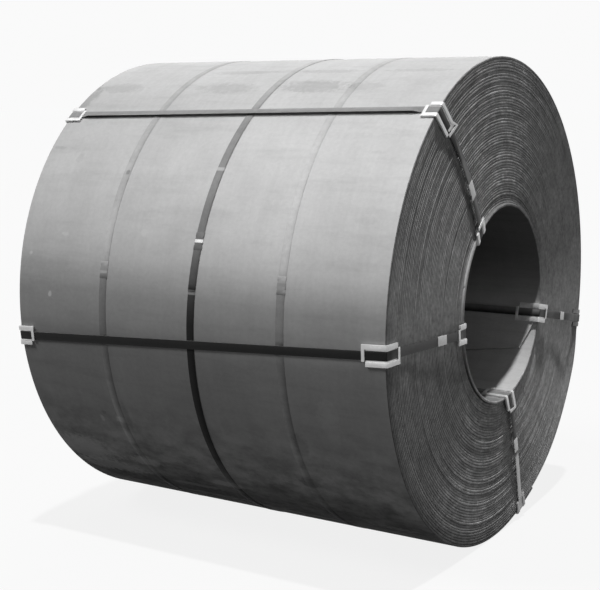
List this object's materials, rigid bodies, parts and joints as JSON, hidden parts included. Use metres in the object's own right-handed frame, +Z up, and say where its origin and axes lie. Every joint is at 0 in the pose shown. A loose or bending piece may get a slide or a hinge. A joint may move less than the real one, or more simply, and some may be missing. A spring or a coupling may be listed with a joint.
{
  "type": "steel coil",
  "caption": "Wide coil of hot-rolled steel strip lying on its side, with an open bore, body straps, straps through the bore and slotted corner protectors.",
  "frame": {"origin": "on the floor, under the middle of the coil's outline", "axes": "+X along the coil's axis, out of the end where the innermost turns stand out; +Z up"},
  "size_m": [1.6646, 1.9078, 1.9003],
  "materials": {
    "hot_rolled_strip": "dark grey mill scale, semi-matt",
    "black_strap": "black waxed paint, satin",
    "grey_strap": "bare strapping steel, semi-matt",
    "galvanised_sheet": "galvanised, pale and dull"
  },
  "bodies": {
    "root": {"coil": "hot_rolled_strip", "body_strap_left": "grey_strap", "body_strap_left_seal": "galvanised_sheet", "body_strap_middle": "black_strap", "body_strap_middle_seal": "galvanised_sheet", "body_strap_right": "grey_strap", "body_strap_right_seal": "galvanised_sheet", "eye_strap_upper": "black_strap", "eye_strap_upper_seal": "galvanised_sheet", "protector_upper_outer_front": "galvanised_sheet", "protector_upper_inner_front": "galvanised_sheet", "protector_upper_inner_back": "galvanised_sheet", "protector_upper_outer_back": "galvanised_sheet", "eye_strap_near": "black_strap", "eye_strap_near_seal": "galvanised_sheet", "protector_near_outer_front": "galvanised_sheet", "protector_near_inner_front": "galvanised_sheet", "protector_near_inner_back": "galvanised_sheet", "protector_near_outer_back": "galvanised_sheet", "eye_strap_bottom": "black_strap", "eye_strap_bottom_seal": "galvanised_sheet", "protector_bottom_outer_front": "galvanised_sheet", "protector_bottom_inner_front": "galvanised_sheet", "protector_bottom_inner_back": "galvanised_sheet", "protector_bottom_outer_back": "galvanised_sheet", "eye_strap_far": "black_strap", "eye_strap_far_seal": "galvanised_sheet", "protector_far_outer_front": "galvanised_sheet", "protector_far_inner_front": "galvanised_sheet", "protector_far_inner_back": "galvanised_sheet", "protector_far_outer_back": "galvanised_sheet"}
  },
  "joints": []
}
